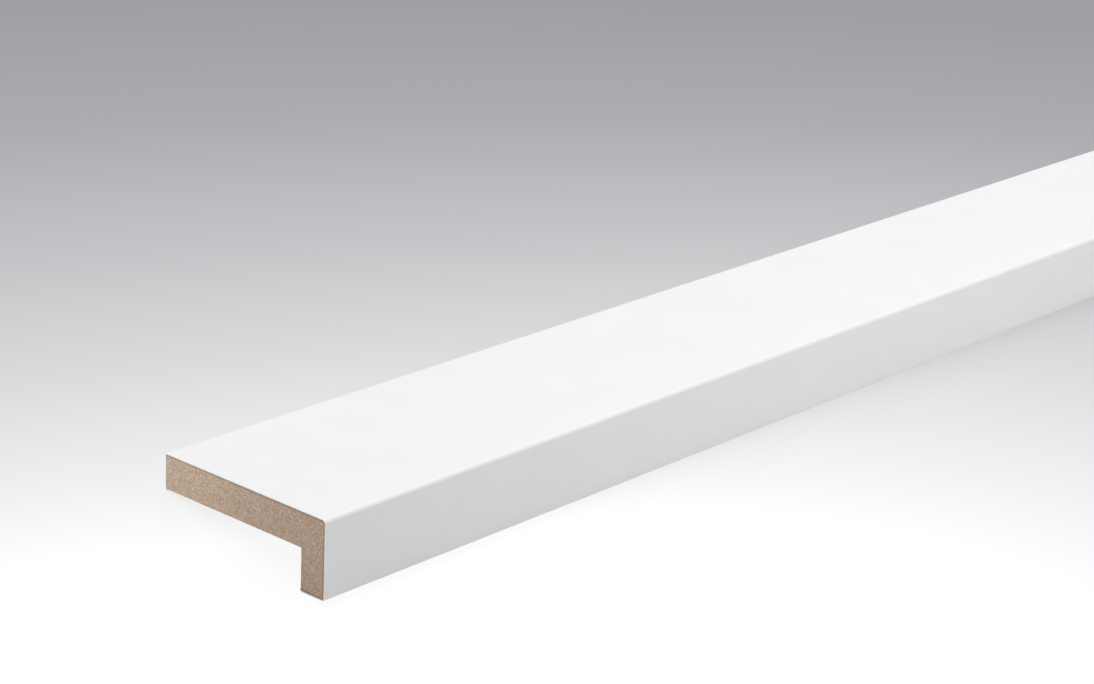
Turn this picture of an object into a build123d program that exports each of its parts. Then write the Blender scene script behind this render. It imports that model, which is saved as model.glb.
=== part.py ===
"""Corner trim moulding: an L-section of fibreboard wrapped in white foil, sold by the length.

The section is drawn upright, with u across it from the narrow face to the back edge and v up from the foot.
It then leans back until the trim rests as it lies on a floor, face up: on the foot's inner arris and on the
back edge's lower arris. X runs along the trim, -Y is the narrow face's side and +Z is up.
"""

import os
from math import atan2, cos, sin

from build123d import *

# Stock size, measured over the foil
length = 2380.0
wide_face = 60.0
narrow_face = 22.0

# Thickness of each leg, from its foil to its bare inner side
wide_leg = 10.0
narrow_leg = 8.5

# Foil, trimmed where it has turned round the two lower arrises
foil_thickness = 0.3

# Radii milled on the core under the foil
nose_radius = 0.9
top_arris_radius = 0.3
low_arris_radius = 0.5

# Levels of the core's faces in the section
front = foil_thickness
back = wide_face - foil_thickness
foot = foil_thickness
top = narrow_face - foil_thickness
inner_side = narrow_leg
underside = narrow_face - wide_leg
rebate_corner = (inner_side, underside)

# Centres of the core's rounded arrises
back_low_centre = (back - low_arris_radius, underside + low_arris_radius)
back_top_centre = (back - top_arris_radius, top - top_arris_radius)
nose_centre = (front + nose_radius, top - nose_radius)
foot_outer_centre = (front + low_arris_radius, foot + low_arris_radius)
foot_inner_centre = (inner_side - low_arris_radius, foot + low_arris_radius)

# The two arrises that touch the floor have one radius, so the lean is the slope from one to the other
rest_lean = atan2(back_low_centre[1] - foot_inner_centre[1], back_low_centre[0] - foot_inner_centre[0])
leaning = Plane(origin=(0, 0, 0), x_dir=(0, cos(rest_lean), -sin(rest_lean)), z_dir=(1, 0, 0))


def leant(u, v):
    """Where a point of the section goes as the section leans about its origin."""
    return leaning.from_local_coords(Vector(u, v))


# Reach of the leaning section over the foil, at the rounded arrises that come furthest out
low_reach = low_arris_radius + foil_thickness
top_reach = top_arris_radius + foil_thickness
floor_level = leant(*foot_inner_centre).Z - low_reach
front_reach = leant(*foot_outer_centre).Y - low_reach
back_reach = leant(*back_top_centre).Y + top_reach

# The section's plane at one saw cut, set on the floor with the origin under the middle of the trim
section_plane = Plane(
    origin=(-length / 2, -(front_reach + back_reach) / 2, -floor_level),
    x_dir=leaning.x_dir,
    z_dir=leaning.z_dir,
)


def wrapped_surface():
    """Draw the core's surface under the foil, from the underside round to the foot, and return its ends."""
    arrises = [
        CenterArc(back_low_centre, low_arris_radius, -90, 90),
        CenterArc(back_top_centre, top_arris_radius, 0, 90),
        CenterArc(nose_centre, nose_radius, 90, 90),
        CenterArc(foot_outer_centre, low_arris_radius, 180, 90),
        CenterArc(foot_inner_centre, low_arris_radius, 270, 90),
    ]
    for arris, next_arris in zip(arrises, arrises[1:]):
        Line(arris @ 1, next_arris @ 0)
    return arrises[0] @ 0, arrises[-1] @ 1


# Fibreboard core, milled in one piece with a sharp rebate
with BuildPart() as mdf_core:
    with BuildSketch(section_plane):
        with BuildLine():
            wrap_start, wrap_end = wrapped_surface()
            Polyline(wrap_end, rebate_corner, wrap_start)
        make_face()
    extrude(amount=length)
mdf_core.part.label = "mdf_core"

# Foil of even thickness laid on the same surface
with BuildPart() as foil_wrap:
    with BuildSketch(section_plane):
        with BuildLine():
            wrapped_surface()
            offset(amount=foil_thickness, side=Side.RIGHT)
        make_face()
    extrude(amount=length)
foil_wrap.part.label = "foil_wrap"

os.makedirs("parts", exist_ok=True)
for piece in (mdf_core, foil_wrap):
    export_step(piece.part, f"parts/{piece.part.label}.step")
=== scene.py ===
"""Corner trim moulding: a fibreboard L-section wrapped in white foil, dressed and lit after its photograph.

Section sizes are in millimetres, u across from the narrow face to the back edge and v up from the foot, as in
the CAD source. Blender's own units are metres.
"""

import math

import bpy
from mathutils import Matrix, Vector, noise
from mathutils.geometry import delaunay_2d_cdt


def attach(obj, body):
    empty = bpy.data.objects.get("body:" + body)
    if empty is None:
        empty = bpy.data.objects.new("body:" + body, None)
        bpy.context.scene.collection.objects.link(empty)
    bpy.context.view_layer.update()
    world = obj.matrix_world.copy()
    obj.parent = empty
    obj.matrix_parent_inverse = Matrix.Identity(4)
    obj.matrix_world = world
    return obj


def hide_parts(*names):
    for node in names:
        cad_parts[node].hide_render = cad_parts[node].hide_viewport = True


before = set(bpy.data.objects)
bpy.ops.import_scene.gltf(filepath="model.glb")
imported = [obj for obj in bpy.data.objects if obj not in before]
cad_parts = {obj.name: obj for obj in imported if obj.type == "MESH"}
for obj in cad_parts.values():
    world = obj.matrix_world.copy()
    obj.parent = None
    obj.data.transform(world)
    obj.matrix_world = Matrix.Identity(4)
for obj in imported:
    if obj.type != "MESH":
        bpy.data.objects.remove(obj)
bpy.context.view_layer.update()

# Trim, in millimetres
LENGTH = 2380.0
WIDE_FACE = 60.0
NARROW_FACE = 22.0
WIDE_LEG = 10.0
NARROW_LEG = 8.5
FOIL = 0.3
NOSE_RADIUS = 0.9
TOP_ARRIS_RADIUS = 0.3
LOW_ARRIS_RADIUS = 0.5
UNDERSIDE = NARROW_FACE - WIDE_LEG
MM_PER_METRE = 1000

# Reach of the rounded arrises over the foil, and their centres
LOW_REACH = FOIL + LOW_ARRIS_RADIUS
TOP_REACH = FOIL + TOP_ARRIS_RADIUS
NOSE_REACH = FOIL + NOSE_RADIUS
BACK_LOW = (WIDE_FACE - LOW_REACH, UNDERSIDE + LOW_ARRIS_RADIUS)
BACK_TOP = (WIDE_FACE - TOP_REACH, NARROW_FACE - TOP_REACH)
NOSE = (NOSE_REACH, NARROW_FACE - NOSE_REACH)
FOOT_OUTER = (LOW_REACH, LOW_REACH)
FOOT_INNER = (NARROW_LEG - LOW_ARRIS_RADIUS, LOW_REACH)

# Centre, core radius and first angle of each arris, in the order that the foil goes round them
ARRISES = [
    (BACK_LOW, LOW_ARRIS_RADIUS, -90),
    (BACK_TOP, TOP_ARRIS_RADIUS, 0),
    (NOSE, NOSE_RADIUS, 90),
    (FOOT_OUTER, LOW_ARRIS_RADIUS, 180),
    (FOOT_INNER, LOW_ARRIS_RADIUS, 270),
]

# The trim leans back on the foot's inner arris and the back edge's lower arris
LEAN = math.atan2(BACK_LOW[1] - FOOT_INNER[1], BACK_LOW[0] - FOOT_INNER[0])


def leant(u, v):
    """Across and up from the section's origin once the section leans."""
    return u * math.cos(LEAN) + v * math.sin(LEAN), v * math.cos(LEAN) - u * math.sin(LEAN)


FLOOR_LEVEL = leant(*FOOT_INNER)[1] - LOW_REACH
FRONT_REACH = leant(*FOOT_OUTER)[0] - LOW_REACH
BACK_REACH = leant(*BACK_TOP)[0] + TOP_REACH
MIDDLE = (FRONT_REACH + BACK_REACH) / 2


def part_place(x, u, v):
    """Place in the part's frame, in metres, of a point x from the near saw cut and at u, v in the section."""
    across, up = leant(u, v)
    return Vector((x - LENGTH / 2, across - MIDDLE, up - FLOOR_LEVEL)) / MM_PER_METRE


def section_place(point):
    """How far along the trim a place is from the near saw cut, and its u and v, in millimetres."""
    across = point.y * MM_PER_METRE + MIDDLE
    up = point.z * MM_PER_METRE + FLOOR_LEVEL
    u = across * math.cos(LEAN) - up * math.sin(LEAN)
    v = across * math.sin(LEAN) + up * math.cos(LEAN)
    return point.x * MM_PER_METRE + LENGTH / 2, u, v


def part_direction(x, u, v):
    """Direction in the part's frame of one given along the trim, across and up its upright section."""
    return Vector((x, *leant(u, v)))


def add_object(name, data):
    """A new object in the scene."""
    new = bpy.data.objects.new(name, data)
    bpy.context.scene.collection.objects.link(new)
    return new


# Meshes: each arris's turn in degrees and steps, and pitches in millimetres
ARRIS_TURN = 90
ARC_STEPS = 14
OUTLINE_PITCH = 0.5
CUT_PITCH = 0.36
SHARP_ANGLE = math.radians(40)

# Points of a cut: how far they stray from a grid and keep from the outline, in pitches
CUT_STRAY = 0.3
CUT_MARGIN = 0.55

# Depth of a saw cut's relief, in millimetres, and the noise from which on fibres are torn out
MEAN_DEPTH = 0.035
FINE_DEPTH = 0.03
COARSE_DEPTH = 0.012
TORN_DEPTH = 0.10
TORN_FROM = 0.25

# How a flat outline is filled with faces: inside it only, joining points that are this close
FILL_INSIDE = 1
FILL_JOIN = 1e-7


def wrapped_path(proud):
    """Points round the wrapped arrises, on the core's surface or proud of it."""
    points = []
    for (u, v), radius, first in ARRISES:
        for step in range(ARC_STEPS + 1):
            angle = math.radians(first + ARRIS_TURN * step / ARC_STEPS)
            reach = radius + proud
            points.append((u + reach * math.cos(angle), v + reach * math.sin(angle)))
    return points


def divided(outline):
    """The closed outline with its straight runs divided to about the outline's pitch."""
    points = []
    for here, there in zip(outline, outline[1:] + outline[:1]):
        parts = max(1, round(math.dist(here, there) / OUTLINE_PITCH))
        for part in range(parts):
            share = part / parts
            points.append((here[0] + (there[0] - here[0]) * share, here[1] + (there[1] - here[1]) * share))
    return points


def inside_core(u, v, margin):
    """Whether a point is in the core's section, clear of its outline by the margin."""
    if not FOIL + margin < u < WIDE_FACE - FOIL - margin:
        return False
    lowest = FOIL if u < NARROW_LEG - margin else UNDERSIDE
    if not lowest + margin < v < NARROW_FACE - FOIL - margin:
        return False
    near_nose = u < NOSE[0] and v > NOSE[1]
    return not near_nose or math.dist((u, v), NOSE) < NOSE_RADIUS - margin


def uneven(u, v, rates, layer):
    """Noise either side of 0 at a point of the section, with its rates across and up; each layer differs."""
    return noise.noise((u * rates[0], v * rates[1], layer))


def cut_points():
    """Scattered points over the core's section for the torn fibres of a saw cut."""
    points = []
    for row_number in range(int(NARROW_FACE / CUT_PITCH) + 1):
        for column in range(int(WIDE_FACE / CUT_PITCH) + 1):
            u = (column + 0.5 * (row_number % 2)) * CUT_PITCH
            v = row_number * CUT_PITCH
            aside = uneven(u, v, rates=(7.3, 7.3), layer=4.1)
            upward = uneven(u, v, rates=(7.3, 7.3), layer=11.6)
            u += CUT_STRAY * CUT_PITCH * aside
            v += CUT_STRAY * CUT_PITCH * upward
            if inside_core(u, v, CUT_MARGIN * CUT_PITCH):
                points.append((u, v))
    return points


def fibre_depth(u, v, end):
    """How deep, in millimetres, the saw tore the board at a point of the cut at end 0 or 1."""
    fine = uneven(u, v, rates=(2.6, 2.6), layer=9.0 + end)
    coarse = uneven(u, v, rates=(0.8, 1.1), layer=3.0 + end)
    torn = max(0.0, uneven(u, v, rates=(1.7, 1.7), layer=21.0 + end) - TORN_FROM)
    return MEAN_DEPTH + FINE_DEPTH * fine + COARSE_DEPTH * coarse + TORN_DEPTH * torn


def bar(name, outline, scatter=(), depth=None):
    """A closed bar of this outline between the two saw cuts; depth sinks the scattered points of each cut.

    Its first material is for the cuts and its second for the sides.
    """
    rim = len(outline)
    flat = [Vector(p) for p in (*outline, *scatter)]
    edges = [(i, (i + 1) % rim) for i in range(rim)]
    cut, _, faces, *_ = delaunay_2d_cdt(flat, edges, [], FILL_INSIDE, FILL_JOIN)
    count = len(cut)
    verts = []
    for end in range(2):
        for i, (u, v) in enumerate(cut):
            sunk = depth(u, v, end) if depth and i >= rim else 0.0
            verts.append(part_place(LENGTH - sunk if end else sunk, u, v))
    ends = [tuple(reversed(f)) for f in faces] + [tuple(i + count for i in f) for f in faces]
    sides = [(i, j, j + count, i + count) for i, j in edges]
    mesh = bpy.data.meshes.new(name)
    mesh.from_pydata(verts, [], ends + sides)
    mesh.shade_smooth()
    mesh.set_sharp_from_angle(angle=SHARP_ANGLE)
    mesh.validate()
    piece = add_object(name, mesh)
    for polygon in mesh.polygons:
        polygon.material_index = 0 if polygon.index < len(ends) else 1
    return piece


# Bands of the core's layout: each saw cut, the bare milled faces, and the faces under the foil
NEAR_CUT_BAND = (0.67, 0.99)
FAR_CUT_BAND = (0.34, 0.66)
MILLED_BAND = (0.07, 0.33)
COVERED_BAND = (0.01, 0.06)
LAYOUT_SIDES = (0.01, 0.99)


def between(limits, share):
    """The place at a share of the way from one limit to the other."""
    return limits[0] + (limits[1] - limits[0]) * share


def reach_along(points):
    """How far along a line of points each of them is."""
    reach = [0.0]
    for here, there in zip(points, points[1:]):
        reach.append(reach[-1] + math.dist(here, there))
    return reach


def lay_out_core(mesh, outline, wrap_length):
    """Lay the core's faces out flat for baking its finish, the two saw cuts the largest."""
    layout = mesh.uv_layers.new(name="OFBake").uv
    reach = reach_along(outline + outline[:1])
    bare_length = reach[-1] - wrap_length
    first_side = len(mesh.polygons) - len(outline)
    for polygon in mesh.polygons:
        side = polygon.index - first_side
        for corner, loop in enumerate(polygon.loop_indices):
            x, u, v = section_place(mesh.vertices[polygon.vertices[corner]].co)
            if side >= 0:
                # A side's two middle corners are at the outline's next point
                here = reach[side + 1] if corner in (1, 2) else reach[side]
                covered = (reach[side] + reach[side + 1]) / 2 < wrap_length
                share = here / wrap_length if covered else (here - wrap_length) / bare_length
                across, up = 1 - x / LENGTH, between(COVERED_BAND if covered else MILLED_BAND, share)
            elif x < LENGTH / 2:
                across, up = 1 - u / WIDE_FACE, between(NEAR_CUT_BAND, v / NARROW_FACE)
            else:
                across, up = u / WIDE_FACE, between(FAR_CUT_BAND, v / NARROW_FACE)
            layout[loop].vector = (between(LAYOUT_SIDES, across), up)


# Materials: the span that holds most of what a noise gives, and the foil's and the board's colours
NOISE_SPAN = (0.3, 0.7)
WHITE = (1.0, 1.0, 1.0)
FOIL_DULL = (0.868, 0.868, 0.864)
FOIL_BRIGHT = (0.884, 0.884, 0.880)
BOARD_DARK = (0.410, 0.294, 0.218)
BOARD_MIDDLE = (0.552, 0.411, 0.315)
BOARD_PALE = (0.694, 0.535, 0.420)

# How rough each surface is
FOIL_ROUGHNESS = (0.50, 0.60)
BOARD_ROUGHNESS = (0.82, 0.94)

# Relief of the foil's grain beside its swell, and of the board's wisps beside its fibres
GRAIN_HEIGHT = 0.25
WISP_HEIGHT = 0.5

# Scale along the trim where a pattern is drawn out that way, and upwards where it lies flat
GRAIN_DRAW = 0.35
SWELL_DRAW = 0.4
MILLED_DRAW = 0.35
WISP_FLATNESS = 1.5
BUNDLE_FLATNESS = 1.6

# How far from its middle the board's noise gives the darkest and the palest fibre
CUT_SPREAD = 0.19
MILLED_SPREAD = 0.40

# Glue line: how far it darkens the cut, in millimetres, and how many times thinner it is at the back edge
GLUE_REACH = 0.7
BACK_GLUE_THINNER = 4.0


class Nodes:
    """The node tree of a material or a world, with short calls for the nodes used here."""

    def __init__(self, owner):
        self.owner = owner
        owner.use_nodes = True
        self.tree = owner.node_tree

    def add(self, kind, settings=(), **inputs):
        """A node with its settings, and its inputs by socket name with underscores for spaces."""
        node = self.tree.nodes.new("ShaderNode" + kind)
        for key, value in dict(settings).items():
            setattr(node, key, value)
        for key, value in inputs.items():
            self.set(node, key.replace("_", " "), value)
        return node

    def set(self, node, key, value):
        """Give an input a value, or link it to a socket."""
        socket = node.inputs[int(key)] if key.isdigit() else node.inputs[key]
        if isinstance(value, bpy.types.NodeSocket):
            self.tree.links.new(value, socket)
        else:
            socket.default_value = value

    def place(self):
        """The point of the surface in the part's frame, in metres."""
        return self.add("TexCoord").outputs["Object"]

    def math(self, operation, first, second):
        """One sum on two numbers or sockets."""
        node = self.add("Math", {"operation": operation})
        self.set(node, "0", first)
        self.set(node, "1", second)
        return node.outputs[0]

    def stretched(self, vector, scale, turn=0.0):
        """The vector scaled along each axis, then turned about X."""
        settings = {"vector_type": "POINT"}
        mapping = self.add("Mapping", settings, Vector=vector, Rotation=(turn, 0.0, 0.0), Scale=scale)
        return mapping.outputs[0]

    def noise(self, vector, scale, detail=2.0, roughness=0.5):
        """Noise from 0 to 1."""
        node = self.add("TexNoise", Vector=vector, Scale=scale, Detail=detail, Roughness=roughness)
        return node.outputs[0]

    def ramp(self, factor, *stops):
        """A colour ramp of (place, colour) stops."""
        node = self.add("ValToRGB", Fac=factor)
        elements = node.color_ramp.elements
        while len(elements) < len(stops):
            elements.new(1.0)
        for element, (place, colour) in zip(elements, stops):
            element.position = place
            element.color = (*colour, 1.0)
        return node.outputs[0]

    def toned(self, factor, low, high):
        """One colour at the low end of a noise's span, and another at its high end."""
        return self.ramp(factor, (NOISE_SPAN[0], low), (NOISE_SPAN[1], high))

    def range(self, value, source, target):
        """A value carried from one span to another, held at its ends."""
        node = self.add("MapRange", {"clamp": True}, Value=value)
        for key, number in zip(("From Min", "From Max", "To Min", "To Max"), (*source, *target)):
            self.set(node, key, number)
        return node.outputs[0]

    def mix(self, factor, first, second, blend="MIX"):
        """Two colours mixed; the node has its colour sockets at 6, 7 and, going out, 2."""
        node = self.add("Mix", {"data_type": "RGBA", "blend_type": blend})
        for key, value in (("0", factor), ("6", first), ("7", second)):
            self.set(node, key, value)
        return node.outputs[2]

    def shaded(self, colour, shade):
        """A colour multiplied by a shade."""
        return self.mix(1.0, colour, shade, "MULTIPLY")

    def bump(self, shader, height, strength, distance):
        """Relief of this height on the shader's surface, with its distance in metres."""
        node = self.add("Bump", Strength=strength, Distance=distance, Height=height)
        self.set(shader, "Normal", node.outputs[0])

    def seen(self):
        """1 on rays from the camera or from a glossy or clear surface, and 0 on others."""
        ray = self.add("LightPath").outputs
        mirrored = self.math("MAXIMUM", ray["Is Glossy Ray"], ray["Is Transmission Ray"])
        return self.math("MAXIMUM", ray["Is Camera Ray"], mirrored)


def foil_material():
    """Satin white foil: faint print mottle, fine grain in its gloss, and the board just telling through."""
    n = Nodes(bpy.data.materials.new("white_foil"))
    shader = n.tree.nodes["Principled BSDF"]
    place = n.place()
    mottle = n.noise(place, scale=60.0, detail=3.0)
    grain = n.noise(n.stretched(place, (GRAIN_DRAW, 1.0, 1.0)), scale=2600.0)
    swell = n.noise(n.stretched(place, (SWELL_DRAW, 1.0, 1.0)), scale=220.0)
    n.set(shader, "Base Color", n.toned(mottle, FOIL_DULL, FOIL_BRIGHT))
    n.set(shader, "Roughness", n.range(grain, NOISE_SPAN, FOIL_ROUGHNESS))
    n.set(shader, "IOR", 1.47)
    height = n.math("ADD", n.math("MULTIPLY", grain, GRAIN_HEIGHT), swell)
    n.bump(shader, height, strength=0.12, distance=0.00006)
    return n.owner


def foil_distance(n, place):
    """Distance, in metres, from a point of the cut to the foil, counted up where the glue line is thinner."""
    split = n.add("SeparateXYZ", Vector=n.stretched(place, (1.0, 1.0, 1.0), LEAN))
    base = Matrix.Rotation(LEAN, 3, "X") @ part_place(LENGTH / 2, 0, 0)
    u = n.math("SUBTRACT", split.outputs["Y"], base.y)
    v = n.math("SUBTRACT", split.outputs["Z"], base.z)
    front = n.math("SUBTRACT", u, FOIL / MM_PER_METRE)
    to_back = n.math("SUBTRACT", (WIDE_FACE - FOIL) / MM_PER_METRE, u)
    back = n.math("MULTIPLY", to_back, BACK_GLUE_THINNER)
    top = n.math("SUBTRACT", (NARROW_FACE - FOIL) / MM_PER_METRE, v)
    foot = n.math("SUBTRACT", v, FOIL / MM_PER_METRE)
    return n.math("MINIMUM", n.math("MINIMUM", front, back), n.math("MINIMUM", top, foot))


def board_material(name, cut):
    """Raw fibreboard in small soft flecks; a saw cut shows stray dark bundles and the glue line too."""
    n = Nodes(bpy.data.materials.new(name))
    shader = n.tree.nodes["Principled BSDF"]
    place = n.place()
    draw = 1.0 if cut else MILLED_DRAW
    spread = CUT_SPREAD if cut else MILLED_SPREAD
    fibres = n.stretched(place, (draw, 1.0, 1.0))
    fine = n.noise(fibres, scale=1500.0, detail=3.0, roughness=0.6)
    coarse = n.noise(fibres, scale=420.0)
    wisps = n.noise(n.stretched(place, (draw, 1.0, WISP_FLATNESS)), scale=4600.0)
    colour = n.ramp(fine, (0.5 - spread, BOARD_DARK), (0.5, BOARD_MIDDLE), (0.5 + spread, BOARD_PALE))
    colour = n.shaded(colour, n.toned(wisps, (0.90, 0.89, 0.88), (1.08, 1.08, 1.08)))
    colour = n.shaded(colour, n.toned(coarse, (0.91, 0.89, 0.87), (1.06, 1.06, 1.07)))
    if cut:
        bundles = n.noise(n.stretched(place, (1.0, 1.0, BUNDLE_FLATNESS)), scale=900.0, detail=1.0)
        colour = n.shaded(colour, n.ramp(bundles, (0.22, (0.60, 0.55, 0.51)), (0.30, WHITE)))
        from_glue = n.range(foil_distance(n, place), (0.0, GLUE_REACH / MM_PER_METRE), (0.0, 1.0))
        glue_shade = n.ramp(from_glue, (0.0, (0.46, 0.44, 0.43)), (0.5, (0.80, 0.79, 0.78)), (1.0, WHITE))
        colour = n.shaded(colour, glue_shade)
    n.set(shader, "Base Color", colour)
    n.set(shader, "Roughness", n.range(coarse, NOISE_SPAN, BOARD_ROUGHNESS))
    n.set(shader, "Specular IOR Level", 0.3)
    height = n.math("ADD", fine, n.math("MULTIPLY", wisps, WISP_HEIGHT))
    n.bump(shader, height, strength=0.3 if cut else 0.25, distance=0.0001)
    return n.owner


# Pieces
core_path = wrapped_path(0.0)
core_outline = divided([*core_path, (NARROW_LEG, UNDERSIDE)])
core = bar("core", core_outline, cut_points(), fibre_depth)
lay_out_core(core.data, core_outline, reach_along(core_path)[-1])
foil = bar("foil", divided([*wrapped_path(FOIL), *reversed(core_path)]))
cut_look = board_material("fibreboard_cut", cut=True)
milled_look = board_material("fibreboard_milled", cut=False)
foil_look = foil_material()
for piece, node, looks in (
    (core, "mdf_core", (cut_look, milled_look)),
    (foil, "foil_wrap", (foil_look, foil_look)),
):
    for look in looks:
        piece.data.materials.append(look)
    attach(piece, "root")
    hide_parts(node)

# Camera, as the photograph's edges give it: its focal length in pixels of the photograph, and its place and
# two directions beside the upright section, with the place in millimetres from the near saw cut
PHOTO_WIDTH = 1094
FOCAL_PIXELS = 2810.33
SENSOR_WIDTH = 36.0
CAMERA_PLACE = (-445.85, -457.7, 297.6)
CAMERA_AHEAD = (0.71064, 0.61884, -0.33469)
CAMERA_RIGHT = (0.66789, -0.74294, 0.04442)

camera_data = bpy.data.cameras.new("camera")
camera_data.sensor_width = SENSOR_WIDTH
camera_data.lens = SENSOR_WIDTH * FOCAL_PIXELS / PHOTO_WIDTH
camera = add_object("camera", camera_data)
bpy.context.scene.camera = camera
ahead = part_direction(*CAMERA_AHEAD).normalized()
right = part_direction(*CAMERA_RIGHT)
right = (right - ahead * right.dot(ahead)).normalized()
above = right.cross(ahead)
facing = Matrix((right, above, -ahead)).transposed().to_4x4()
camera.matrix_world = Matrix.Translation(part_place(*CAMERA_PLACE)) @ facing

# Floor, in metres: half its side, and the oval pool of painted light at the trim's near end, painted white
# there and fading to grey between two reaches
FLOOR_REACH = 12.0
PAINTED_LIGHT_POOL_CENTRE = (-1.256, -0.085, 0.0)
PAINTED_LIGHT_POOL_TURN = math.radians(-13.6)
PAINTED_LIGHT_POOL_STRETCH = 2.5
PAINTED_LIGHT_POOL_REACHES = (0.1, 0.431)

# Of the floor that the camera sees, this share is a plain glow that carries the painted pool of light, and
# the rest takes light and shadow
FLOOR_GLOW_SHARE = 0.88
FLOOR_GLOW = 1.05
FLOOR_COLOUR = (0.8, 0.8, 0.8, 1.0)


def floor_material():
    """A pale floor; the camera sees a soft oval pool of painted light, white at the trim's near end, and grey
    round it.
    """
    n = Nodes(bpy.data.materials.new("floor"))
    oval = n.add(
        "Mapping",
        {"vector_type": "TEXTURE"},
        Vector=n.place(),
        Location=PAINTED_LIGHT_POOL_CENTRE,
        Rotation=(0.0, 0.0, PAINTED_LIGHT_POOL_TURN),
        Scale=(PAINTED_LIGHT_POOL_STRETCH, 1.0, 1.0),
    )
    away = n.add("VectorMath", {"operation": "LENGTH"})
    n.set(away, "0", oval.outputs[0])
    # Painted pool of light: white close to the trim's near end, fading to grey farther out
    painted_light_pool = n.ramp(
        n.range(away.outputs["Value"], PAINTED_LIGHT_POOL_REACHES, (0.0, 1.0)),
        (0.0, WHITE),
        (0.1, (0.845, 0.845, 0.845)),
        (0.25, (0.667, 0.667, 0.669)),
        (0.45, (0.496, 0.491, 0.517)),
        (0.7, (0.341, 0.334, 0.365)),
        (1.0, (0.268, 0.260, 0.289)),
    )
    lit = n.add("BsdfDiffuse", Color=FLOOR_COLOUR)
    plain = n.add("Emission", Color=painted_light_pool, Strength=FLOOR_GLOW)
    both = n.add("MixShader", Fac=n.math("MULTIPLY", n.seen(), FLOOR_GLOW_SHARE))
    n.set(both, "1", lit.outputs[0])
    n.set(both, "2", plain.outputs[0])
    n.set(n.tree.nodes["Material Output"], "Surface", both.outputs[0])
    return n.owner


floor_mesh = bpy.data.meshes.new("floor")
corners = [(x * FLOOR_REACH, y * FLOOR_REACH, 0) for x, y in ((-1, -1), (1, -1), (1, 1), (-1, 1))]
floor_mesh.from_pydata(corners, [], [(0, 1, 2, 3)])
floor = add_object("floor", floor_mesh)
floor_mesh.materials.append(floor_material())

# The world gives an even white light, and the camera sees it in the grey of the far floor
WORLD_LIGHT = (0.25, 0.25, 0.25, 1.0)
WORLD_SEEN = (0.272, 0.266, 0.292, 1.0)

studio = Nodes(bpy.data.worlds.new("studio"))
bpy.context.scene.world = studio.owner
backdrop = studio.mix(studio.seen(), WORLD_LIGHT, WORLD_SEEN)
studio.set(studio.tree.nodes["Background"], "Color", backdrop)


def lamp(name, place, aim, length, width, power, colour=WHITE):
    """A soft oblong lamp at a place, facing a point, its length level; metres and watts."""
    data = bpy.data.lights.new(name, "AREA")
    data.shape = "RECTANGLE"
    data.size = length
    data.size_y = width
    data.energy = power
    data.color = colour
    light = add_object(name, data)
    light.visible_camera = False
    light.location = place
    light.rotation_mode = "QUATERNION"
    light.rotation_quaternion = (Vector(aim) - Vector(place)).to_track_quat("-Z", "Y")
    return light


# A broad lamp above and behind, and two low ones beside the narrow face
lamp("overhead", place=(-0.4, 0.9, 2.5), aim=(-0.4, 0.0, 0.0), length=6.0, width=2.2, power=97.0)
lamp("side_near", place=(-0.92, -0.44, 0.30), aim=(-0.92, -0.03, 0.01), length=0.16, width=0.16, power=0.73)
lamp("side_far", place=(0.55, -0.44, 0.30), aim=(0.55, -0.03, 0.01), length=1.7, width=0.16, power=1.6)

# A small lamp stands off each saw cut, in line with the back edge, and lights the trim alone
CUT_LAMP_GAP = 0.05
CUT_LAMP_LINE = (0.030, 0.007)
CUT_LAMP_COLOUR = (0.90, 0.98, 1.0)
HALF_LENGTH = LENGTH / 2 / MM_PER_METRE

lit_at_the_cuts = bpy.data.collections.new("lit_at_the_cuts")
lit_at_the_cuts.objects.link(core)
lit_at_the_cuts.objects.link(foil)
for name, way in (("near_cut", -1), ("far_cut", 1)):
    place = (way * (HALF_LENGTH + CUT_LAMP_GAP), *CUT_LAMP_LINE)
    aim = (way * HALF_LENGTH, *CUT_LAMP_LINE)
    cut_lamp = lamp(name, place, aim, length=0.02, width=0.02, power=0.0097, colour=CUT_LAMP_COLOUR)
    cut_lamp.light_linking.receiver_collection = lit_at_the_cuts

bpy.context.scene.view_settings.view_transform = "Standard"
